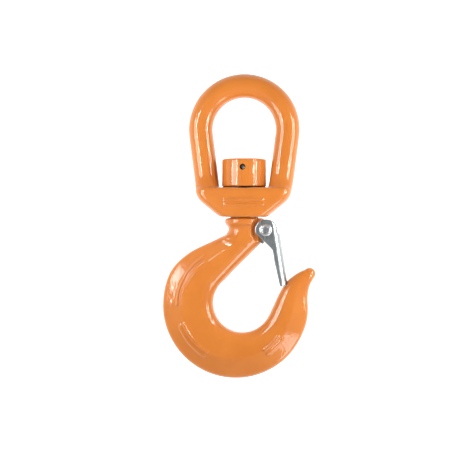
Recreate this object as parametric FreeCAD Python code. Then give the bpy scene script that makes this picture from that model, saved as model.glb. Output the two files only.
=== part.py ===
import FreeCAD, Part

import math
import os

# Swivel lifting hook for 10 mm chain slings, in millimetres. The origin is the centre of the bow's
# eye. +Z points up along the swivel axis, +X to the hook's open side and Y across its thickness.

# Bow: a ring with two legs that lean inwards and stand on a thick base with a bore.
EYE_R = 22.1
BAR_WIDTH = 16.9
BAR_DEPTH = 17.0
BAR_EDGE_R = 8.2
LEG_LEAN = math.radians(7.3)
LEG_END_Z = -43.0
LEG_FOOT = ((-24.0, 8.4), (-31.0, 8.8), (-36.0, 10.0), (-39.5, 12.0), (-43.0, 14.0))
SEAT_Z = -40.6
BASE_BOTTOM_Z = -61.25
BASE_BOTTOM_HALF = 16.4
BASE_CHAMFER = math.radians(37.9)
BASE_END_HALF = 14.8
BASE_CROWN_HALF = 17.4
BASE_CORNER_R = 8.0
BASE_EDGE_R = 2.6
BASE_FOOT_EDGE_R = 1.2
EDGE_STATIONS = (0.0, 0.1, 0.35, 1.0)
BASE_STATIONS = (0.25, 0.35, 0.45, 0.55, 0.7)

# Swivel joint: shank, bush, thrust washer, nut and the pin across them.
SHANK_R = 10.0
SHANK_TOP_Z = -21.5
SHANK_EDGE_R = 1.0
BUSH_R = 12.0
SWIVEL_CLEARANCE = 0.06
BUSH_INSET = 0.25
EDGE_BREAK = 0.3
WASHER_R = 15.0
WASHER_THICKNESS = 2.0
WASHER_SINK = 1.3
WASHER_ROOM = 0.3
NUT_R = 15.6
NUT_TOP_Z = -20.65
NUT_FOOT_EDGE_R = 1.0
NUT_TOP_EDGE_R = 1.4
NUT_BORE_EDGE_R = 0.6
PIN_R = 2.0
PIN_WALL = 0.8
PIN_SLOT = 0.9
PIN_LENGTH = 26.0
PIN_Z = -26.6

# Hook: the collar and neck under the bow, then the body round the bowl to the nose. Sections are
# (distance up the throat, width, taper ratio) at the neck and (inner, outer, half) at the nose.
COLLAR_R = 13.8
COLLAR_TOP_Z = -62.1
COLLAR_LIP_Z = -65.8
COLLAR_EDGE_R = 0.9
COLLAR_LIP_R = 1.6
NECK_R = 10.9
NECK_TOP_Z = -68.6
NECK_END_Z = -78.0
NECK_FILLET_R = 3.0
FLARE_R = 6.0
FLARE_TOP_Z = -68.8
FLARE_END_Z = -80.0
FLARE_RIGHT_X = 8.0
FLARE_RIGHT_EDGE_R = 7.5
FLARE_BACK_EDGE_R = 10.4
FLARE_STATIONS = (0.0, 0.25, 0.48, 0.68, 0.83, 0.91)
NECK_SECTIONS = ((44.0, 18.5, 0.92), (36.0, 18.5, 0.88), (28.0, 20.9, 0.75))
THROAT_SECTIONS = ((19.0, 0.60), (9.5, 0.48))
BODY_HALF = 10.75
BOWL_CENTRE = (-1.25, -121.45)
BOWL_R = 20.3
BOWL_STOCK = 0.45
BOWL_STATIONS = range(135, 316, 18)
THROAT_SLOPE = math.radians(45.0)
NOSE_LEAN = math.radians(25.5)
BACK_CENTRE = (-6.1, -122.8)
BACK_R = 51.1
SHOULDER_POINT = (-14.35, -74.2)
SHOULDER_SLOPE = 0.4526
INNER_EDGE_R = 9.5
FACE_EDGE_R = 6.0
FULLEST_EDGE = 0.92
TAPER_LENGTH = 13.5
TAPER_SHARE = 0.44
TIP_TAPER_SHARE = 0.50
TAPER_EDGE_SHARE = 0.85
TAPER_RATIO = 0.42
TIP_TAPER_RATIO = 0.96
THINNING_POWER = 1.5
THINNING_START = 250
THINNING_SPAN = 85
BOWL_THINNING = 1.1
NOSE_FOOT_HALF = 9.5
NOSE_BACK_ANGLE = math.radians(-21.0)
NOSE_SECTIONS = (
    ((21.0, -121.9), (44.75, -128.6), 8.9),
    ((24.5, -114.5), (44.55, -119.6), 8.2),
    ((28.0, -108.6), (44.95, -113.4), 7.4),
    ((32.6, -103.6), (46.1, -108.8), 6.5),
    ((37.8, -99.9), (47.6, -105.7), 5.4),
)
TIP_CENTRE = (45.8, -100.7)
TIP_R = 4.2
TIP_DIRECTION = math.radians(47.0)

# Latch: a channel of bent sheet with two ears, on a rivet through the hook's lug.
PIVOT = (15.64, -70.3)
LUG_R = 7.0
LUG_HALF = 3.5
LUG_ROOT = ((12.64, -77.3, 3.0), (3.0, -83.6, 5.0), (-2.0, -78.0, 3.0), (0.0, -63.3, 2.0))
EAR_R = 7.4
EAR_HALF = 9.6
EAR_END = -7.0
EAR_BEND_R = 25.0
LATCH_TIP_HALF = 6.8
LATCH_SHEET = 1.9
LATCH_BEND_R = 4.8
LATCH_BACK_U = 8.85
LATCH_BACK_LEAN = math.radians(8.9)
LATCH_BACK_TOP = -2.3
LATCH_BACK_TOP_R = 0.5
LATCH_REACH = 41.0
LATCH_TIP_ANGLES = (math.radians(-68.8), math.radians(-76.0))
LATCH_TIP_R = 1.6
LATCH_THROAT_SIDE = ((5.75, -21.0, 20.0), (4.7, -13.6, 5.0), (-EAR_R, -2.0, 4.0))
LATCH_BLOCK = (-45.0, 12.0)
NOTCH_GAP = 0.12
NOTCH_TOP = -20.0
NOTCH_CORNER_R = 1.0
NOTCH_FALL = 0.3
NOTCH_SWEEP = math.radians(8.0)
RIVET_R = 2.75
RIVET_CLEARANCE = 0.08
RIVET_HEAD_R = 4.7
RIVET_HEAD_HEIGHT = 1.7
RIVET_HEAD_EDGE_R = 1.6
CLINCH_R = 4.3
CLINCH_HEIGHT = 1.3
CLINCH_EDGE_R = 0.95
CLINCH_HOLE_R = 2.3
CLINCH_HOLE_END_Y = -4.0
RECESS_R = 10.3
RECESS_HALF = 7.3
LEG_SLOT_HALF = 6.2
LEG_SLOT_U = (-5.0, -1.5)
LEG_SLOT_V = (-12.0, 1.0)
EAR_ROOM = 0.6

# Latch spring: two coils beside the lug, a loop on the latch's back and two legs under the lug.
WIRE_R = 0.55
COIL_R = 3.9
COIL_FULL_TURNS = 2
COIL_PITCH = 1.15
COIL_END_Y = -4.18
HOOK_LEG_U = -2.6
HOOK_LEG_END_Y = -1.0
HOOK_LEG_BEND_R = 1.3
LATCH_LEG_V = -13.5
LOOP_BEND_R = 2.0
LEG_GAP = 0.12
BALL_R = 0.57

TINY = 1e-6
NEARLY = 0.01
SPAN = 200.0
Y_AXIS = FreeCAD.Vector(0, 1, 0)
Z_AXIS = FreeCAD.Vector(0, 0, 1)


def side(x, z, y=0.0):
    """Point at x, z in the side view, at depth y."""
    return FreeCAD.Vector(x, y, z)


def bend(before, corner, after, radius):
    """Start, middle and end of the arc that rounds a corner between two straight runs."""
    back = (before - corner).normalize()
    onward = (after - corner).normalize()
    half_angle = back.getAngle(onward) / 2
    reach = radius / math.tan(half_angle)
    inward = (back + onward).normalize()
    middle = corner + inward * (radius / math.sin(half_angle) - radius)
    return corner + back * reach, middle, corner + onward * reach


def rounded(corners, place):
    """Closed wire through corners (a, b, radius), with place(a, b) putting each one in space."""
    points = [place(a, b) for a, b, _ in corners]
    bends = []
    for index, (_, _, radius) in enumerate(corners):
        after = points[(index + 1) % len(points)]
        bends.append(bend(points[index - 1], points[index], after, radius))
    edges = []
    for index, (start, middle, end) in enumerate(bends):
        last_end = bends[index - 1][2]
        if last_end.distanceToPoint(start) > TINY:
            edges.append(Part.LineSegment(last_end, start).toShape())
        if start.distanceToPoint(end) > TINY:
            edges.append(Part.Arc(start, middle, end).toShape())
    return Part.Wire(edges)


def side_prism(corners, low, high):
    """Solid with a side-view outline, from y = low to y = high."""
    face = Part.Face(rounded(corners, lambda x, z: side(x, z, low)))
    return face.extrude(Y_AXIS * (high - low))


def turned(corners):
    """Solid of revolution about the swivel axis, from a profile of (radius, z, corner radius)."""
    face = Part.Face(rounded(corners, side))
    return face.revolve(FreeCAD.Vector(), Z_AXIS, 360)


def cross_cylinder(centre, radius, low, high):
    """Cylinder along Y at centre (x, z), from y = low to y = high."""
    return Part.makeCylinder(radius, high - low, side(*centre, low), Y_AXIS)


def both_sides(centre, radius, low, high):
    """Pair of cylinders along Y, at y = low to high and its mirror image."""
    front = cross_cylinder(centre, radius, -high, -low)
    return front.fuse(cross_cylinder(centre, radius, low, high))


def polar(centre, radius, angle):
    """Point (x, z) at an angle from +X towards +Z, about centre."""
    return centre[0] + radius * math.cos(angle), centre[1] + radius * math.sin(angle)


def mirrored(corners):
    """Corners on the +X side followed by their mirror image, for a symmetric outline."""
    return corners + [(-x, other, radius) for x, other, radius in reversed(corners)]


# ---------------------------------------------------------------- bow and swivel

def leg_centre_x(z):
    """Distance of a leg's centre line from the swivel axis at height z."""
    return (EYE_R + BAR_WIDTH / 2) / math.cos(LEG_LEAN) + z * math.tan(LEG_LEAN)


def bow_bar():
    """Ring bar: leg, crown and leg in one sweep."""
    mean_r = EYE_R + BAR_WIDTH / 2
    crown_x = mean_r * math.cos(LEG_LEAN)
    crown_z = -mean_r * math.sin(LEG_LEAN)
    foot_x = leg_centre_x(LEG_END_Z)
    crown = Part.Arc(side(crown_x, crown_z), side(0, mean_r), side(-crown_x, crown_z))
    right_leg = Part.LineSegment(side(foot_x, LEG_END_Z), side(crown_x, crown_z))
    left_leg = Part.LineSegment(side(-crown_x, crown_z), side(-foot_x, LEG_END_Z))
    spine = Part.Wire([right_leg.toShape(), crown.toShape(), left_leg.toShape()])
    across = FreeCAD.Vector(math.cos(LEG_LEAN), 0, -math.sin(LEG_LEAN))
    half_width = BAR_WIDTH / 2
    half_depth = BAR_DEPTH / 2
    section = mirrored([(half_width, -half_depth, BAR_EDGE_R), (half_width, half_depth, BAR_EDGE_R)])
    profile = rounded(section, lambda a, b: side(foot_x, LEG_END_Z) + across * a + Y_AXIS * b)
    return spine.makePipeShell([profile], True, False)


def soft_min(first, second, sharpness=15.0):
    """Smaller of two lengths, rounded off where they are nearly equal."""
    return (first ** -sharpness + second ** -sharpness) ** (-1 / sharpness)


def edge_inset(depth, radius):
    """How far a rounded edge of this radius draws in at a depth below the face."""
    if depth >= radius:
        return 0.0
    return radius - math.sqrt(radius ** 2 - (radius - depth) ** 2)


def base_section(z):
    """Plan of the base at height z: a rounded rectangle that shortens down the chamfered ends."""
    leg_x = leg_centre_x(z) + BAR_WIDTH / 2
    chamfer_x = BASE_BOTTOM_HALF + (z - BASE_BOTTOM_Z) / math.tan(BASE_CHAMFER)
    inset = edge_inset(SEAT_Z - z, BASE_EDGE_R) + edge_inset(z - BASE_BOTTOM_Z, BASE_FOOT_EDGE_R)
    half_length = soft_min(leg_x, chamfer_x) - inset
    end_half = BASE_END_HALF - inset
    crown_half = BASE_CROWN_HALF - inset
    corner_r = BASE_CORNER_R - inset
    crown_r = 0.5 * half_length ** 2 / (crown_half - end_half)
    return rounded([
        (half_length, -end_half, corner_r),
        (half_length, end_half, corner_r),
        (0.0, crown_half, crown_r),
        (-half_length, end_half, corner_r),
        (-half_length, -end_half, corner_r),
        (0.0, -crown_half, crown_r),
    ], lambda x, y: FreeCAD.Vector(x, y, z))


def leg_foot():
    """Foot of one leg, where the bar deepens into the base."""
    sections = []
    for z, half_depth in LEG_FOOT:
        low_x = leg_centre_x(z) - BAR_WIDTH / 2
        high_x = leg_centre_x(z) + BAR_WIDTH / 2
        sections.append(rounded([
            (low_x, -half_depth, BAR_EDGE_R),
            (high_x, -half_depth, BAR_EDGE_R),
            (high_x, half_depth, BAR_EDGE_R),
            (low_x, half_depth, BAR_EDGE_R),
        ], lambda x, y: FreeCAD.Vector(x, y, z)))
    return Part.makeLoft(sections, True)


def bow_base():
    """Base block as one smooth loft, with its upper and lower edges rounded."""
    height = SEAT_Z - BASE_BOTTOM_Z
    depths = [BASE_EDGE_R * share for share in EDGE_STATIONS]
    depths += [height * share for share in BASE_STATIONS]
    depths += [height - BASE_FOOT_EDGE_R * share for share in reversed(EDGE_STATIONS)]
    return Part.makeLoft([base_section(SEAT_Z - depth) for depth in depths], True)


def bow():
    """Bar, base and the two feet between them, bored for the bush and the washer."""
    right_foot = leg_foot()
    left_foot = right_foot.mirror(FreeCAD.Vector(), FreeCAD.Vector(1, 0, 0))
    bore = Part.makeCylinder(BUSH_R, -LEG_END_Z, side(0, BASE_BOTTOM_Z - WASHER_SINK))
    seat = Part.makeCylinder(WASHER_R + WASHER_ROOM, 2 * WASHER_SINK, side(0, SEAT_Z - WASHER_SINK))
    return bow_bar().fuse([bow_base(), right_foot, left_foot]).cut([bore, seat])


def swivel_bush():
    low = BASE_BOTTOM_Z + BUSH_INSET
    high = SEAT_Z - WASHER_SINK - BUSH_INSET
    return turned([
        (SHANK_R + SWIVEL_CLEARANCE, low, EDGE_BREAK),
        (BUSH_R, low, EDGE_BREAK),
        (BUSH_R, high, EDGE_BREAK),
        (SHANK_R + SWIVEL_CLEARANCE, high, EDGE_BREAK),
    ])


def thrust_washer():
    low = SEAT_Z - WASHER_SINK
    high = low + WASHER_THICKNESS
    return turned([
        (SHANK_R + WASHER_ROOM, low, EDGE_BREAK),
        (WASHER_R, low, EDGE_BREAK),
        (WASHER_R, high, EDGE_BREAK),
        (SHANK_R + WASHER_ROOM, high, EDGE_BREAK),
    ])


def pin_hole():
    return cross_cylinder((0, PIN_Z), PIN_R, -SPAN, SPAN)


def shank_nut():
    low = SEAT_Z - WASHER_SINK + WASHER_THICKNESS
    body = turned([
        (SHANK_R, low, 0.0),
        (NUT_R, low, NUT_FOOT_EDGE_R),
        (NUT_R, NUT_TOP_Z, NUT_TOP_EDGE_R),
        (SHANK_R, NUT_TOP_Z, NUT_BORE_EDGE_R),
    ])
    return body.cut(pin_hole())


def nut_pin():
    half_length = PIN_LENGTH / 2
    pin = cross_cylinder((0, PIN_Z), PIN_R, -half_length, half_length)
    bore = cross_cylinder((0, PIN_Z), PIN_R - PIN_WALL, -SPAN, SPAN)
    slot = Part.makeBox(PIN_SLOT, SPAN, SPAN, side(-PIN_SLOT / 2, PIN_Z, -SPAN / 2))
    return pin.cut(bore).cut(slot)


# ---------------------------------------------------------------- hook

def slimness(half):
    """0 where the hook is as thick as its body, 1 where it is as thin as the tip."""
    return (BODY_HALF - half) / (BODY_HALF - TIP_R)


def taper_ratio(half):
    """Half thickness at the back over half thickness at the face, from body to tip."""
    return TAPER_RATIO + (TIP_TAPER_RATIO - TAPER_RATIO) * slimness(half) ** THINNING_POWER


def body_section(inner, outer, half, ratio):
    """Section wire: a rounded inner side, flat faces, then faces that taper to the back."""
    start = side(*inner)
    across = side(*outer) - start
    width = across.Length
    across.normalize()
    inner_r = min(INNER_EDGE_R, FULLEST_EDGE * half)
    taper_share = TAPER_SHARE + (TIP_TAPER_SHARE - TAPER_SHARE) * slimness(half)
    taper = min(TAPER_LENGTH, taper_share * width)
    back_half = half * ratio
    back_r = min(FULLEST_EDGE * back_half, TAPER_EDGE_SHARE * taper)
    corners = [
        (0.0, -half, inner_r),
        (width - taper, -half, FACE_EDGE_R),
        (width, -back_half, back_r),
        (width, back_half, back_r),
        (width - taper, half, FACE_EDGE_R),
        (0.0, half, inner_r),
    ]
    return rounded(corners, lambda s, y: start + across * s + Y_AXIS * y)


def back_distance(start, angle):
    """Distance from start to the hook's back: the back circle, softly blended with the shoulder."""
    run_x = math.cos(angle)
    run_z = math.sin(angle)
    gap_x = start[0] - BACK_CENTRE[0]
    gap_z = start[1] - BACK_CENTRE[1]
    along = gap_x * run_x + gap_z * run_z
    to_circle = math.sqrt(along ** 2 - gap_x ** 2 - gap_z ** 2 + BACK_R ** 2) - along
    closing = run_z - SHOULDER_SLOPE * run_x
    if closing <= 0:
        return to_circle
    height = SHOULDER_POINT[1] + SHOULDER_SLOPE * (start[0] - SHOULDER_POINT[0]) - start[1]
    return soft_min(to_circle, height / closing)


def body_stations():
    """Inner point, outer point, half thickness and taper of each section, from neck to nose."""
    throat_angle = math.pi - THROAT_SLOPE
    throat_foot = polar(BOWL_CENTRE, BOWL_R, throat_angle)
    stations = []
    for distance, width, ratio in NECK_SECTIONS:
        inner = polar(throat_foot, distance, THROAT_SLOPE)
        stations.append((inner, polar(inner, width, throat_angle), BODY_HALF, ratio))
    for distance, ratio in THROAT_SECTIONS:
        inner = polar(throat_foot, distance, THROAT_SLOPE)
        outer = polar(inner, back_distance(inner, throat_angle), throat_angle)
        stations.append((inner, outer, BODY_HALF, ratio))
    for degrees in BOWL_STATIONS:
        angle = math.radians(degrees)
        inner = polar(BOWL_CENTRE, BOWL_R - BOWL_STOCK, angle)
        outer = polar(inner, back_distance(inner, angle), angle)
        thinned = max(0.0, (degrees - THINNING_START) / THINNING_SPAN) ** THINNING_POWER
        half = BODY_HALF - BOWL_THINNING * thinned
        stations.append((inner, outer, half, taper_ratio(half)))
    nose_foot = polar(BOWL_CENTRE, BOWL_R, -NOSE_LEAN)
    nose_back = polar(BACK_CENTRE, BACK_R, NOSE_BACK_ANGLE)
    for inner, outer, half in ((nose_foot, nose_back, NOSE_FOOT_HALF), *NOSE_SECTIONS):
        stations.append((inner, outer, half, taper_ratio(half)))
    across_tip = TIP_DIRECTION + math.pi / 2
    tip_inner = polar(TIP_CENTRE, TIP_R, across_tip)
    tip_outer = polar(TIP_CENTRE, -TIP_R, across_tip)
    stations.append((tip_inner, tip_outer, TIP_R, TIP_TAPER_RATIO))
    return stations


def nose_notch():
    """Room for the latch's tip: a wall along the latch's back and a floor along its tip's path."""
    reach = LATCH_REACH + NOTCH_GAP
    wall_angle, floor_angle = LATCH_TIP_ANGLES
    return side_prism(latch_corners([
        (*polar((NOTCH_GAP, 0.0), reach, wall_angle), NOTCH_CORNER_R),
        (latch_back_u(NOTCH_TOP) + NOTCH_GAP, NOTCH_TOP, 0.0),
        (0.0, NOTCH_TOP, 0.0),
        (*polar((0.0, 0.0), reach + NOTCH_GAP + NOTCH_FALL, floor_angle - NOTCH_SWEEP), 0.0),
        (*polar((0.0, 0.0), reach + NOTCH_GAP, floor_angle), 0.0),
    ]), -SPAN, SPAN)


def hook_body():
    """Body from the neck round the bowl to the nose, with the latch's notch."""
    body = Part.makeLoft([body_section(*station) for station in body_stations()], True)
    body = body.fuse(Part.makeSphere(TIP_R, side(*TIP_CENTRE)))
    return body.cut(nose_notch()).cut(cross_cylinder(BOWL_CENTRE, BOWL_R, -SPAN, SPAN))


def neck_flare():
    """Fillet from the neck's back into the shoulder, as a loft of plan sections."""
    half = BODY_HALF
    heights = [(FLARE_TOP_Z - FLARE_R * share, share) for share in FLARE_STATIONS]
    heights.append((FLARE_END_Z, FLARE_STATIONS[-1]))
    sections = []
    for z, share in heights:
        left = NECK_R + FLARE_R * (1 - math.sqrt(1 - share ** 2))
        sections.append(rounded([
            (FLARE_RIGHT_X, -half, FLARE_RIGHT_EDGE_R),
            (FLARE_RIGHT_X, half, FLARE_RIGHT_EDGE_R),
            (-left, half, FLARE_BACK_EDGE_R),
            (-left, -half, FLARE_BACK_EDGE_R),
        ], lambda x, y: FreeCAD.Vector(x, y, z)))
    return Part.makeLoft(sections, True)


def hook_stem():
    """Shank, collar and neck in one turned piece."""
    return turned([
        (0.0, SHANK_TOP_Z, 0.0),
        (SHANK_R, SHANK_TOP_Z, SHANK_EDGE_R),
        (SHANK_R, COLLAR_TOP_Z, 0.0),
        (COLLAR_R, COLLAR_TOP_Z, COLLAR_EDGE_R),
        (COLLAR_R, COLLAR_LIP_Z, COLLAR_LIP_R),
        (NECK_R, NECK_TOP_Z, NECK_FILLET_R),
        (NECK_R, NECK_END_Z, NECK_FILLET_R),
        (0.0, NECK_END_Z, 0.0),
    ])


def hook_lug():
    """Plate between the latch's ears, from the neck out round the pivot."""
    x, z = PIVOT
    return side_prism([
        (x + LUG_R, z + LUG_R, LUG_R - NEARLY),
        (x + LUG_R, z - LUG_R, LUG_R - NEARLY),
        *LUG_ROOT,
    ], -LUG_HALF, LUG_HALF)


def latch_room():
    """Space cut from the hook for the latch's ears and the spring's coils and legs."""
    ears = both_sides(PIVOT, RECESS_R, RECESS_HALF, SPAN)
    coils = both_sides(PIVOT, COIL_R + WIRE_R + EAR_ROOM, LUG_HALF, SPAN)
    left, right = LEG_SLOT_U
    low, high = LEG_SLOT_V
    outline = [(left, low, 0.0), (right, low, 0.0), (right, high, 0.0), (left, high, 0.0)]
    leg_slot = side_prism(latch_corners(outline), LEG_SLOT_HALF, SPAN)
    return ears.fuse([coils, leg_slot, leg_slot.mirror(FreeCAD.Vector(), Y_AXIS)])


def hook():
    solid = hook_body().fuse([neck_flare(), hook_stem()])
    solid = solid.cut(latch_room()).fuse(hook_lug())
    return solid.cut(cross_cylinder(PIVOT, RIVET_R + RIVET_CLEARANCE, -SPAN, SPAN)).cut(pin_hole())


# ---------------------------------------------------------------- latch

def latch_place(u, v):
    """Point (x, z) given from the pivot."""
    return PIVOT[0] + u, PIVOT[1] + v


def latch_corners(corners):
    return [(*latch_place(u, v), radius) for u, v, radius in corners]


def latch_back_u(v):
    """Distance of the latch's back from the pivot at height v."""
    return LATCH_BACK_U - v * math.tan(LATCH_BACK_LEAN)


def latch_width(tip_half, ear_half):
    """Block across X with the latch's outline seen from behind: straight ears, then a taper."""
    outline = [
        (-ear_half, LATCH_BLOCK[1], 0.0),
        (-ear_half, EAR_END, EAR_BEND_R),
        (-tip_half, LATCH_BLOCK[0], 0.0),
        (tip_half, LATCH_BLOCK[0], 0.0),
        (ear_half, EAR_END, EAR_BEND_R),
        (ear_half, LATCH_BLOCK[1], 0.0),
    ]
    face = Part.Face(rounded(outline, lambda y, v: side(*latch_place(-SPAN / 2, v), y)))
    return face.extrude(FreeCAD.Vector(SPAN, 0, 0))


def latch_channel(inset, bend_r):
    """Solid block behind the latch's back, drawn in by inset, with rounded back edges."""
    low, high = LATCH_BLOCK
    block = side_prism(latch_corners([
        (latch_back_u(high) - inset, high, 0.0),
        (latch_back_u(low) - inset, low, 0.0),
        (-2 * EAR_R, low, 0.0),
        (-2 * EAR_R, high, 0.0),
    ]), -SPAN, SPAN)
    block = block.common(latch_width(LATCH_TIP_HALF - inset, EAR_HALF - inset))
    return block.makeFillet(bend_r, [edge for edge in block.Edges if on_back(edge, inset)])


def on_back(edge, inset):
    """Whether an edge runs down one side of the channel's back."""
    ends = [edge.valueAt(edge.FirstParameter), edge.valueAt(edge.LastParameter)]
    if abs(ends[0].z - ends[1].z) < NEARLY:
        return False
    return all(abs(end.x - PIVOT[0] - latch_back_u(end.z - PIVOT[1]) + inset) < NEARLY for end in ends)


def latch():
    """Folded sheet: two ears round the pivot, then a channel down to the nose."""
    hollow = latch_channel(LATCH_SHEET, LATCH_BEND_R - LATCH_SHEET)
    tip_right, tip_left = [polar((0.0, 0.0), LATCH_REACH, angle) for angle in LATCH_TIP_ANGLES]
    outline = side_prism(latch_corners([
        (-EAR_R, EAR_R, EAR_R - NEARLY),
        (EAR_R, EAR_R, EAR_R - NEARLY),
        (EAR_R, LATCH_BACK_TOP, LATCH_BACK_TOP_R),
        (2 * LATCH_BACK_U, LATCH_BACK_TOP, 0.0),
        (*tip_right, LATCH_TIP_R),
        (*tip_left, LATCH_TIP_R),
        *LATCH_THROAT_SIDE,
    ]), -SPAN, SPAN)
    sheet = latch_channel(0.0, LATCH_BEND_R).cut(hollow).common(outline)
    ear_gap = side_prism(latch_corners([
        (0.0, LATCH_BACK_TOP, 0.0),
        (LATCH_BACK_U, LATCH_BACK_TOP, 0.0),
        (LATCH_BACK_U, 2 * EAR_R, 0.0),
        (0.0, 2 * EAR_R, 0.0),
    ]), LATCH_SHEET - EAR_HALF, EAR_HALF - LATCH_SHEET)
    return sheet.cut(ear_gap).cut(cross_cylinder(PIVOT, RIVET_R, -SPAN, SPAN))


def latch_rivet():
    """Rivet along Y, with a domed head at the back and a hollow clinched end at the front."""
    head_y = EAR_HALF + RIVET_HEAD_HEIGHT
    clinch_y = -EAR_HALF - CLINCH_HEIGHT
    profile = rounded([
        (0.0, head_y, 0.0),
        (RIVET_HEAD_R, head_y, RIVET_HEAD_EDGE_R),
        (RIVET_HEAD_R, EAR_HALF, 0.0),
        (RIVET_R, EAR_HALF, 0.0),
        (RIVET_R, -EAR_HALF, 0.0),
        (CLINCH_R, -EAR_HALF, EDGE_BREAK),
        (CLINCH_R, clinch_y, CLINCH_EDGE_R),
        (CLINCH_HOLE_R, clinch_y, CLINCH_EDGE_R),
        (CLINCH_HOLE_R, CLINCH_HOLE_END_Y, EDGE_BREAK),
        (0.0, CLINCH_HOLE_END_Y, 0.0),
    ], lambda r, y: side(PIVOT[0] + r, PIVOT[1], y))
    return Part.Face(profile).revolve(side(*PIVOT), Y_AXIS, 360)


# ---------------------------------------------------------------- latch spring

def wire_run(points, bend_r):
    """Round wire through points, straight between them with tangent bends."""
    edges = []
    start = points[0]
    for before, corner, after in zip(points, points[1:], points[2:]):
        bend_start, middle, bend_end = bend(before, corner, after, bend_r)
        edges.append(Part.LineSegment(start, bend_start).toShape())
        edges.append(Part.Arc(bend_start, middle, bend_end).toShape())
        start = bend_end
    edges.append(Part.LineSegment(start, points[-1]).toShape())
    section = Part.Wire(Part.makeCircle(WIRE_R, points[0], points[1] - points[0]))
    return Part.Wire(edges).makePipeShell([section], True, False)


def tangent_angle(u, v, turn):
    """Angle on the coil where a straight leg from (u, v) leaves it, to one side or the other."""
    return math.atan2(v, u) + turn * math.acos(COIL_R / math.hypot(u, v))


def latch_spring():
    """Double torsion spring: legs under the hook's lug, coils beside it, one loop on the latch."""
    face_gap = (WIRE_R + LEG_GAP) * math.sqrt(2)
    throat_x, throat_z = polar(BOWL_CENTRE, BOWL_R, math.pi - THROAT_SLOPE)
    face_offset = (throat_x - throat_z) - (PIVOT[0] - PIVOT[1])
    hook_leg = (HOOK_LEG_U, HOOK_LEG_U - face_offset - face_gap)
    latch_leg = (latch_back_u(LATCH_LEG_V) - LATCH_SHEET - WIRE_R - LEG_GAP, LATCH_LEG_V)

    start_angle = tangent_angle(*hook_leg, -1) + 2 * math.pi
    end_angle = tangent_angle(*latch_leg, 1)
    turns = COIL_FULL_TURNS + (start_angle - end_angle) / (2 * math.pi)
    start_y = COIL_END_Y - turns * COIL_PITCH

    helix = Part.makeHelix(COIL_PITCH, turns * COIL_PITCH, COIL_R)
    section = Part.Wire(Part.makeCircle(WIRE_R, FreeCAD.Vector(COIL_R, 0, 0), Y_AXIS))
    coil = Part.Wire(helix).makePipeShell([section], True, True)
    coil.rotate(FreeCAD.Vector(), FreeCAD.Vector(1, 0, 0), -90)
    coil.rotate(FreeCAD.Vector(), Y_AXIS, -math.degrees(start_angle))
    coil.translate(side(*PIVOT, start_y))

    coil_start = side(*polar(PIVOT, COIL_R, start_angle), start_y)
    coil_end = side(*polar(PIVOT, COIL_R, end_angle), COIL_END_Y)
    hook_corner = side(*latch_place(*hook_leg), start_y)
    hook_end = side(*latch_place(*hook_leg), HOOK_LEG_END_Y)
    leg = wire_run([hook_end, hook_corner, coil_start], HOOK_LEG_BEND_R)
    half = [coil, leg, Part.makeSphere(BALL_R, coil_start), Part.makeSphere(BALL_R, coil_end)]
    other_half = [piece.mirror(FreeCAD.Vector(), Y_AXIS) for piece in half]

    loop_corner = side(*latch_place(*latch_leg), COIL_END_Y)
    loop = [coil_end, loop_corner]
    loop += [FreeCAD.Vector(point.x, -point.y, point.z) for point in reversed(loop)]
    return wire_run(loop, LOOP_BEND_R).fuse(half + other_half)


PARTS = {
    "bow": bow,
    "swivel_bush": swivel_bush,
    "thrust_washer": thrust_washer,
    "hook": hook,
    "shank_nut": shank_nut,
    "nut_pin": nut_pin,
    "latch": latch,
    "latch_rivet": latch_rivet,
    "latch_spring": latch_spring,
}

os.makedirs("parts", exist_ok=True)
for name, make in PARTS.items():
    shape = make()
    shape.exportStep("parts/" + name + ".step")
    print(name, shape.ShapeType, len(shape.Solids), shape.isValid(), round(shape.Volume, 1))
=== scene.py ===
import math

import bpy
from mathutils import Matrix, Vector, noise
from mathutils.bvhtree import BVHTree


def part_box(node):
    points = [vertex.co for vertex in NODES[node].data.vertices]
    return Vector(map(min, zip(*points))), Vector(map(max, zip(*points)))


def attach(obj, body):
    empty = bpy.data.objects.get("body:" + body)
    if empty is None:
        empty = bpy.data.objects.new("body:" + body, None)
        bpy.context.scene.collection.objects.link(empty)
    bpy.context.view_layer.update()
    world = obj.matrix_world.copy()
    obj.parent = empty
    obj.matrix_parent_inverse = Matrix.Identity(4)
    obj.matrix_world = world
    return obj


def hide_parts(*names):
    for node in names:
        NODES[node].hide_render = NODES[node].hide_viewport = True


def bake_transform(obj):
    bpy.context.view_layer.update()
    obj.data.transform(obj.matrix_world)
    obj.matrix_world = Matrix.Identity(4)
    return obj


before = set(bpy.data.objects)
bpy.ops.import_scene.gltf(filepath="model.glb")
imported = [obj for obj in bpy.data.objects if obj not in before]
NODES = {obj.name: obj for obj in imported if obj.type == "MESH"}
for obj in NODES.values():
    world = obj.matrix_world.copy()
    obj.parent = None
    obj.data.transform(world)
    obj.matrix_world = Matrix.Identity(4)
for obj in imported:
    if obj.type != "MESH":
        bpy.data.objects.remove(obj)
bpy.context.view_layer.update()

HOOK_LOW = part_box("hook")[0]

# Camera: level with the object's middle, a little to the right of its front.
VIEW_TURN = math.radians(5)
CAMERA_DISTANCE = 0.95
LENS = 108.0
AIM_ACROSS = -0.0127
AIM_Z = -0.0675

# Enamel and plate: base colours from dark to light patches.
ENAMEL_DARK = (0.568, 0.167, 0.020)
ENAMEL_LIGHT = (0.615, 0.191, 0.026)
ROUGHNESS_SPREAD = 0.08

# Skins over the solids: remesh size, then rounds of smoothing.
HOOK_VOXEL = 0.00055
BOW_VOXEL = 0.0005
LATCH_VOXEL = 0.00025
RIVET_VOXEL = 0.00018
SMOOTH_FACTOR = 0.5
EDGE_ROUNDS = 2
PRESSING_ROUNDS = 14
FILLET_ROUNDS = 40

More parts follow.
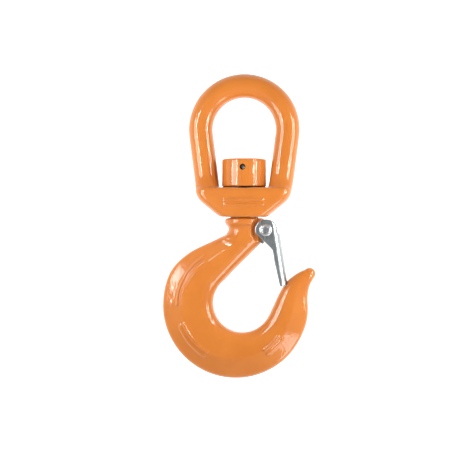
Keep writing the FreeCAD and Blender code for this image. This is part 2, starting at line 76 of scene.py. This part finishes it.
# Fillets smoothed further: centre, then core and edge radius.
NECK_FILLET = (Vector((-0.009, 0, -0.073)), 0.009, 0.016)
LEG_FILLETS = tuple((Vector((side * 0.026, 0, -0.0405)), 0.010, 0.017) for side in (-1, 1))

# Unevenness of a forged skin: height, then waves per metre and the dimples' share.
UNEVENNESS = 0.00006
WAVE_SCALE = 95.0
DIMPLE_SCALE = 260.0
DIMPLE_SHARE = 0.45

# The shank's skin above this height stays inside this radius, clear of its bush.
SHANK_FOOT_Z = -0.0620
SHANK_SKIN_R = 0.00975


# ---------------------------------------------------------------- node helpers

def new_material(name):
    """Material with a Principled shader; returns it with its tree's nodes and links."""
    material = bpy.data.materials.new(name)
    material.use_nodes = True
    tree = material.node_tree
    return material, tree, tree.nodes["Principled BSDF"]


def add_noise(tree, scale, detail, stretch=(1, 1, 1)):
    """Noise in object space, scale per metre; returns its factor socket."""
    place = tree.nodes.new("ShaderNodeTexCoord")
    mapping = tree.nodes.new("ShaderNodeMapping")
    mapping.inputs["Scale"].default_value = stretch
    texture = tree.nodes.new("ShaderNodeTexNoise")
    texture.inputs["Scale"].default_value = scale
    texture.inputs["Detail"].default_value = detail
    tree.links.new(place.outputs["Object"], mapping.inputs["Vector"])
    tree.links.new(mapping.outputs["Vector"], texture.inputs["Vector"])
    return texture.outputs["Fac"]


def add_ramp(tree, factor, stops):
    """Colour ramp over a factor, from stops of (position, colour)."""
    ramp = tree.nodes.new("ShaderNodeValToRGB")
    elements = ramp.color_ramp.elements
    while len(elements) < len(stops):
        elements.new(0.5)
    for element, (position, colour) in zip(elements, stops):
        element.position = position
        element.color = (*colour, 1.0)
    tree.links.new(factor, ramp.inputs["Fac"])
    return ramp.outputs["Color"]


def add_range(tree, factor, low, high, from_low=0.0, from_high=1.0):
    """Factor mapped smoothly from from_low..from_high to low..high."""
    node = tree.nodes.new("ShaderNodeMapRange")
    node.interpolation_type = "SMOOTHSTEP"
    node.inputs["From Min"].default_value = from_low
    node.inputs["From Max"].default_value = from_high
    node.inputs["To Min"].default_value = low
    node.inputs["To Max"].default_value = high
    tree.links.new(factor, node.inputs["Value"])
    return node.outputs["Result"]


def add_bump(tree, height, distance, strength, normal=None):
    """Bump from a height socket; distance in metres. Returns the normal socket."""
    bump = tree.nodes.new("ShaderNodeBump")
    bump.inputs["Distance"].default_value = distance
    bump.inputs["Strength"].default_value = strength
    tree.links.new(height, bump.inputs["Height"])
    if normal is not None:
        tree.links.new(normal, bump.inputs["Normal"])
    return bump.outputs["Normal"]


# ---------------------------------------------------------------- materials

def orange_enamel():
    """Thick gloss enamel over a forging: even orange, a little uneven under a clear surface."""
    material, tree, shader = new_material("orange_enamel")
    cloud = add_noise(tree, scale=60.0, detail=3.0)
    colour = add_ramp(tree, cloud, [(0.30, ENAMEL_DARK), (0.70, ENAMEL_LIGHT)])
    tree.links.new(colour, shader.inputs["Base Color"])
    patches = add_noise(tree, scale=350.0, detail=2.0)
    tree.links.new(add_range(tree, patches, low=0.34, high=0.46), shader.inputs["Roughness"])
    shader.inputs["Specular IOR Level"].default_value = 0.15
    shader.inputs["Coat Weight"].default_value = 1.0
    shader.inputs["Coat Roughness"].default_value = 0.03
    shader.inputs["Coat IOR"].default_value = 1.5
    broad = add_noise(tree, scale=170.0, detail=2.0)
    swell = add_bump(tree, broad, distance=0.0002, strength=0.5)
    fine = add_noise(tree, scale=550.0, detail=2.0)
    peel = add_bump(tree, fine, distance=0.00010, strength=1.0, normal=swell)
    tree.links.new(peel, shader.inputs["Normal"])
    tree.links.new(peel, shader.inputs["Coat Normal"])
    return material


def zinc_plate(name, dark, light):
    """Bright zinc plate on steel, with fine rolling grain and faint clouding between two colours."""
    material, tree, shader = new_material(name)
    cloud = add_noise(tree, scale=140.0, detail=4.0)
    colour = add_ramp(tree, cloud, [(0.25, dark), (0.75, light)])
    tree.links.new(colour, shader.inputs["Base Color"])
    shader.inputs["Metallic"].default_value = 1.0
    grain = add_noise(tree, scale=900.0, detail=3.0, stretch=(1.0, 1.0, 0.12))
    tree.links.new(add_range(tree, grain, low=0.20, high=0.42), shader.inputs["Roughness"])
    tree.links.new(add_bump(tree, grain, distance=0.00004, strength=0.5), shader.inputs["Normal"])
    return material


def worn_metal(name, dark, light, roughness):
    """Plain turned or drawn metal with fine clouding, between two colours."""
    material, tree, shader = new_material(name)
    cloud = add_noise(tree, scale=300.0, detail=4.0)
    colour = add_ramp(tree, cloud, [(0.3, dark), (0.7, light)])
    tree.links.new(colour, shader.inputs["Base Color"])
    shader.inputs["Metallic"].default_value = 1.0
    grain = add_noise(tree, scale=1500.0, detail=2.0)
    gloss = add_range(
        tree, grain, low=roughness - ROUGHNESS_SPREAD, high=roughness + ROUGHNESS_SPREAD)
    tree.links.new(gloss, shader.inputs["Roughness"])
    tree.links.new(add_bump(tree, grain, distance=0.00003, strength=0.5), shader.inputs["Normal"])
    return material


ENAMEL = orange_enamel()
ZINC_SHEET = zinc_plate("zinc_sheet", (0.36, 0.40, 0.41), (0.54, 0.58, 0.59))
# The rivet's zinc plate, lighter than the sheet's: real zinc, lightened as a painted highlight on the
# clinched ring.
RIVET_ZINC_PAINTED_HIGHLIGHT = zinc_plate("rivet_zinc_painted_highlight", (0.66, 0.68, 0.69), (0.86, 0.88, 0.89))
BRONZE = worn_metal("bronze", (0.40, 0.25, 0.10), (0.58, 0.38, 0.17), 0.34)
# Near-black steel: black-oxide steel, darkened further as painted shade in the pin's hole and along the
# line under the nut.
BLACK_STEEL_AND_PAINTED_SHADE = worn_metal("dark_steel", (0.008, 0.008, 0.009), (0.03, 0.03, 0.032), 0.38)
SPRING_STEEL = worn_metal("spring_steel", (0.10, 0.10, 0.105), (0.20, 0.20, 0.21), 0.30)


def paint(obj, material):
    """The material as the object's only one."""
    obj.data.materials.clear()
    obj.data.materials.append(material)


# ---------------------------------------------------------------- mesh helpers

def mesh_object(name, verts, faces):
    """New object with a mesh of these points and faces."""
    mesh = bpy.data.meshes.new(name)
    mesh.from_pydata([tuple(vert) for vert in verts], [], faces)
    mesh.update()
    obj = bpy.data.objects.new(name, mesh)
    bpy.context.scene.collection.objects.link(obj)
    return obj


def copy_of_node(node, name):
    """New object with its own copy of a CAD node's mesh."""
    obj = bpy.data.objects.new(name, NODES[node].data.copy())
    bpy.context.scene.collection.objects.link(obj)
    return obj


def join(pieces):
    """First piece, with the others' meshes joined into it."""
    bpy.ops.object.select_all(action="DESELECT")
    for piece in pieces:
        piece.select_set(True)
    bpy.context.view_layer.objects.active = pieces[0]
    bpy.ops.object.join()
    return pieces[0]


def apply_modifier(obj, kind, **settings):
    """One modifier with these settings, added to the object and applied."""
    modifier = obj.modifiers.new(kind.lower(), kind)
    for key, value in settings.items():
        setattr(modifier, key, value)
    bpy.ops.object.select_all(action="DESELECT")
    bpy.context.view_layer.objects.active = obj
    obj.select_set(True)
    bpy.ops.object.modifier_apply(modifier=modifier.name)


def soften(obj, voxel, rounds):
    """One closed skin over everything in obj, with its edges softened."""
    apply_modifier(obj, "REMESH", mode="VOXEL", voxel_size=voxel, adaptivity=0.0)
    apply_modifier(obj, "SMOOTH", factor=SMOOTH_FACTOR, iterations=rounds)
    for polygon in obj.data.polygons:
        polygon.use_smooth = True


def smooth_where(obj, weight, rounds):
    """Smooth only where weight(point) is above 0, in proportion to it."""
    group = obj.vertex_groups.new(name="where")
    for vert in obj.data.vertices:
        amount = weight(vert.co)
        if amount > 0:
            group.add([vert.index], amount, "REPLACE")
    apply_modifier(obj, "SMOOTH", factor=SMOOTH_FACTOR, iterations=rounds, vertex_group="where")
    obj.vertex_groups.clear()


def forge_unevenness(obj):
    """Low waves and small dimples of a forged skin, along the surface's own normals."""
    mesh = obj.data
    normals = [vert.normal.copy() for vert in mesh.vertices]
    for vert, normal in zip(mesh.vertices, normals):
        wave = noise.noise(vert.co * WAVE_SCALE)
        wave += DIMPLE_SHARE * noise.noise(vert.co * DIMPLE_SCALE)
        vert.co += normal * wave * UNEVENNESS
    mesh.update()


def near(centre, core, edge):
    """Weight function: 1 within core metres of a point, falling to 0 at edge metres."""
    def weight(point):
        gap = (point - centre).length
        return max(0.0, min(1.0, (edge - gap) / (edge - core)))
    return weight


# ---------------------------------------------------------------- raised ridges

RIDGE_RISE = 0.0010
RIDGE_ROOT = 0.0015
RIDGE_WIDTH = 0.0014
RIDGE_GAP = 0.0034
RIDGE_STATIONS = 24
RAY_START_Y = -1.0

# Pairs of long plain ridges. On the hook's back: radius, then first and last angle in degrees.
BACK_CENTRE = Vector((-0.0061, -0.1228))
HOOK_RUNS = (
    (0.0388, 121, 180),
    (0.0392, 200, 240),
    (0.0388, 304, 326),
)
BASE_RUN_Z = -0.0512
BASE_RUN_X = (-0.0125, 0.0143)


class Front:
    """The front of a mesh, to lay ridges on."""

    def __init__(self, obj):
        mesh = obj.data
        points = [vert.co for vert in mesh.vertices]
        self.tree = BVHTree.FromPolygons(points, [list(face.vertices) for face in mesh.polygons])

    def ridge(self, stations):
        """Raised ridge through stations of (place, across), both in (x, z)."""
        corners = ((-1, RIDGE_RISE), (1, RIDGE_RISE), (1, -RIDGE_ROOT), (-1, -RIDGE_ROOT))
        verts = []
        for place, across in stations:
            for side, lift in corners:
                x, z = place + across * (side * RIDGE_WIDTH / 2)
                hit = self.tree.ray_cast(Vector((x, RAY_START_Y, z)), Vector((0, 1, 0)))[0]
                verts.append((x, hit.y - lift, z))
        ring = len(corners)
        last = ring * (len(stations) - 1)
        faces = [tuple(range(ring)), tuple(range(last, last + ring))]
        for start in range(0, last, ring):
            for i in range(ring):
                j = (i + 1) % ring
                faces.append((start + i, start + j, start + ring + j, start + ring + i))
        return mesh_object("ridge", verts, faces)


def spread(first, last):
    """RIDGE_STATIONS values evenly spaced from first to last."""
    return [first + (last - first) * index / (RIDGE_STATIONS - 1) for index in range(RIDGE_STATIONS)]


def arc_stations(radius, first, last):
    """Stations along an arc about the back's centre, angles in degrees."""
    stations = []
    for degrees in spread(first, last):
        turn = math.radians(degrees)
        outward = Vector((math.cos(turn), math.sin(turn)))
        stations.append((BACK_CENTRE + outward * radius, outward))
    return stations


def hook_ridges(obj):
    """Pairs of ridges along the hook's back."""
    front = Front(obj)
    return [
        front.ridge(arc_stations(radius + side * RIDGE_GAP / 2, first, last))
        for radius, first, last in HOOK_RUNS
        for side in (-1, 1)
    ]


def bow_ridges(obj):
    """One pair of level ridges across the base's front."""
    front = Front(obj)
    ridges = []
    for side in (-1, 1):
        z = BASE_RUN_Z + side * RIDGE_GAP / 2
        ridges.append(front.ridge([(Vector((x, z)), Vector((0, 1))) for x in spread(*BASE_RUN_X)]))
    return ridges


# ---------------------------------------------------------------- scene set

FLOOR_DROP = 0.40
FLOOR_FRONT_Y = -3.0
FLOOR_HALF_WIDTH = 4.0
SWEEP_START_Y = 0.8
SWEEP_R = 0.6
SWEEP_STEPS = 12
WALL_TOP = 3.0
FLOOR_PAINTED_GLOW = 0.8
# The floor's colour and its painted glow rise between these two values of Y, from grey in front to
# glowing white behind.
FLOOR_SHADE_Y = (-0.25, 0.3)
FLOOR_SHADES = [(0.0, (0.62, 0.62, 0.62)), (1.0, (0.93, 0.93, 0.93))]

# World brightness: 0 behind the object as the camera sees it, 1 behind the camera.
WORLD_STOPS = [
    (0.45, (1.10, 1.10, 1.10)),
    (0.70, (0.40, 0.40, 0.40)),
    (0.97, (0.25, 0.25, 0.25)),
]

LIGHT_DISTANCE = 0.32
# name, azimuth range in degrees (0 at the camera, + to its right), height range, radiance
LIGHTS = (
    ("left_fill", (-61, -40), (-0.14, 0.07), 5.5),
    ("left_outer", (-64, -61), (-0.13, 0.08), 20.0),
    ("left_inner", (-40, -37), (-0.05, 0.08), 44.0),
    ("right_inner", (48, 51), (-0.14, 0.10), 38.0),
    ("right_fill", (51, 62), (-0.14, 0.10), 1.0),
    ("right_outer", (62, 65), (-0.14, 0.10), 34.0),
    ("right_low", (36, 60), (-0.51, -0.27), 6.0),
)


def panel_light(name, azimuths, heights, radiance):
    """Upright panel facing the swivel axis, LIGHT_DISTANCE away from it."""
    turn = VIEW_TURN + math.radians(sum(azimuths) / 2)
    width = LIGHT_DISTANCE * math.radians(azimuths[1] - azimuths[0])
    height = heights[1] - heights[0]
    light = bpy.data.lights.new(name, "AREA")
    light.shape = "RECTANGLE"
    light.size = width
    light.size_y = height
    light.energy = radiance * math.pi * width * height
    obj = bpy.data.objects.new(name, light)
    bpy.context.scene.collection.objects.link(obj)
    obj.location = (LIGHT_DISTANCE * math.sin(turn), -LIGHT_DISTANCE * math.cos(turn), sum(heights) / 2)
    obj.rotation_euler = (math.radians(90), 0, turn)


def build_camera():
    """Level camera, turned VIEW_TURN to the object's right."""
    camera_data = bpy.data.cameras.new("camera")
    camera_data.lens = LENS
    camera = bpy.data.objects.new("camera", camera_data)
    across = Vector((math.cos(VIEW_TURN), math.sin(VIEW_TURN), 0))
    back = Vector((math.sin(VIEW_TURN), -math.cos(VIEW_TURN), 0))
    camera.location = across * AIM_ACROSS + back * CAMERA_DISTANCE + Vector((0, 0, AIM_Z))
    camera.rotation_euler = (math.radians(90), 0, VIEW_TURN)
    bpy.context.scene.collection.objects.link(camera)
    bpy.context.scene.camera = camera


def build_floor():
    """Floor that curves up behind the object, grey in front and white with a painted glow behind."""
    floor_z = HOOK_LOW.z - FLOOR_DROP
    sweep = [(FLOOR_FRONT_Y, 0.0), (SWEEP_START_Y, 0.0)]
    for step in range(1, SWEEP_STEPS + 1):
        turn = math.radians(90 * step / SWEEP_STEPS)
        sweep.append((SWEEP_START_Y + SWEEP_R * math.sin(turn), SWEEP_R * (1 - math.cos(turn))))
    sweep.append((SWEEP_START_Y + SWEEP_R, WALL_TOP))
    verts = []
    for x in (-FLOOR_HALF_WIDTH, FLOOR_HALF_WIDTH):
        verts += [(x, y, floor_z + z) for y, z in sweep]
    count = len(sweep)
    faces = [(i, i + 1, count + i + 1, count + i) for i in range(count - 1)]
    floor = mesh_object("floor", verts, faces)
    for polygon in floor.data.polygons:
        polygon.use_smooth = True
    material, tree, shader = new_material("pale_floor")
    shader.inputs["Roughness"].default_value = 0.9
    shader.inputs["Emission Color"].default_value = (1.0, 1.0, 1.0, 1.0)
    place = tree.nodes.new("ShaderNodeTexCoord")
    split = tree.nodes.new("ShaderNodeSeparateXYZ")
    tree.links.new(place.outputs["Object"], split.inputs["Vector"])
    behind = add_range(tree, split.outputs["Y"], 0.0, 1.0, *FLOOR_SHADE_Y)
    # Painted glow: the floor gives off light behind the object, though it is no lamp.
    tree.links.new(add_range(tree, behind, 0.0, FLOOR_PAINTED_GLOW), shader.inputs["Emission Strength"])
    shade = add_ramp(tree, behind, FLOOR_SHADES)
    tree.links.new(shade, shader.inputs["Base Color"])
    paint(floor, material)


def build_world():
    """White room that is darker behind the camera, so flat faces towards it keep their colour."""
    world = bpy.data.worlds.new("studio")
    bpy.context.scene.world = world
    world.use_nodes = True
    tree = world.node_tree
    place = tree.nodes.new("ShaderNodeTexCoord")
    facing = tree.nodes.new("ShaderNodeVectorMath")
    facing.operation = "DOT_PRODUCT"
    facing.inputs[1].default_value = (math.sin(VIEW_TURN), -math.cos(VIEW_TURN), 0)
    tree.links.new(place.outputs["Generated"], facing.inputs[0])
    share = add_range(tree, facing.outputs["Value"], 0.0, 1.0, -1.0, 1.0)
    strength = add_ramp(tree, share, WORLD_STOPS)
    tree.links.new(strength, tree.nodes["Background"].inputs["Color"])


def build_set():
    """Camera, floor, world and lights."""
    build_camera()
    build_floor()
    build_world()
    for light in LIGHTS:
        panel_light(*light)
    bpy.context.scene.view_settings.view_transform = "Standard"


build_set()


# ---------------------------------------------------------------- pieces

def slim_shank(obj):
    """Turn the shank down a little, so that its skin stays clear of the bush it slides in."""
    for vert in obj.data.vertices:
        reach = math.hypot(vert.co.x, vert.co.y)
        if vert.co.z > SHANK_FOOT_Z and reach > SHANK_SKIN_R:
            vert.co.x *= SHANK_SKIN_R / reach
            vert.co.y *= SHANK_SKIN_R / reach


def hook_forging():
    """The hook with its ridges, softened and uneven like a forging."""
    obj = copy_of_node("hook", "hook_forging")
    join([obj] + hook_ridges(obj))
    soften(obj, HOOK_VOXEL, EDGE_ROUNDS)
    smooth_where(obj, near(*NECK_FILLET), FILLET_ROUNDS)
    forge_unevenness(obj)
    slim_shank(obj)
    paint(obj, ENAMEL)
    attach(obj, "hook")
    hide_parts("hook")


def bow_forging():
    """The bow with its ridges, softened and uneven like a forging."""
    obj = copy_of_node("bow", "bow_forging")
    join([obj] + bow_ridges(obj))
    soften(obj, BOW_VOXEL, EDGE_ROUNDS)
    for fillet in LEG_FILLETS:
        smooth_where(obj, near(*fillet), FILLET_ROUNDS)
    forge_unevenness(obj)
    paint(obj, ENAMEL)
    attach(obj, "bow")
    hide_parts("bow")


def latch_pressing():
    """The latch with the soft bends of pressed sheet."""
    obj = copy_of_node("latch", "latch_pressing")
    soften(obj, LATCH_VOXEL, PRESSING_ROUNDS)
    paint(obj, ZINC_SHEET)
    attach(obj, "latch")
    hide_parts("latch")


def rivet():
    """The latch's rivet in zinc plate, lighter than the sheet's as a painted highlight on its clinched
    ring.
    """
    obj = copy_of_node("latch_rivet", "rivet")
    soften(obj, RIVET_VOXEL, EDGE_ROUNDS)
    paint(obj, RIVET_ZINC_PAINTED_HIGHLIGHT)
    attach(obj, "latch")
    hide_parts("latch_rivet")


def spring():
    """The latch spring's wire in spring steel, with its placing baked into the mesh."""
    obj = copy_of_node("latch_spring", "spring_wire")
    paint(obj, SPRING_STEEL)
    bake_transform(obj)
    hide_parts("latch_spring")


hook_forging()
bow_forging()
latch_pressing()
rivet()
spring()
paint(NODES["shank_nut"], ENAMEL)
# Pin and washer: black-oxide steel, near-black as painted shade in the pin's hole and the gap under the
# nut.
paint(NODES["nut_pin"], BLACK_STEEL_AND_PAINTED_SHADE)
paint(NODES["thrust_washer"], BLACK_STEEL_AND_PAINTED_SHADE)
paint(NODES["swivel_bush"], BRONZE)
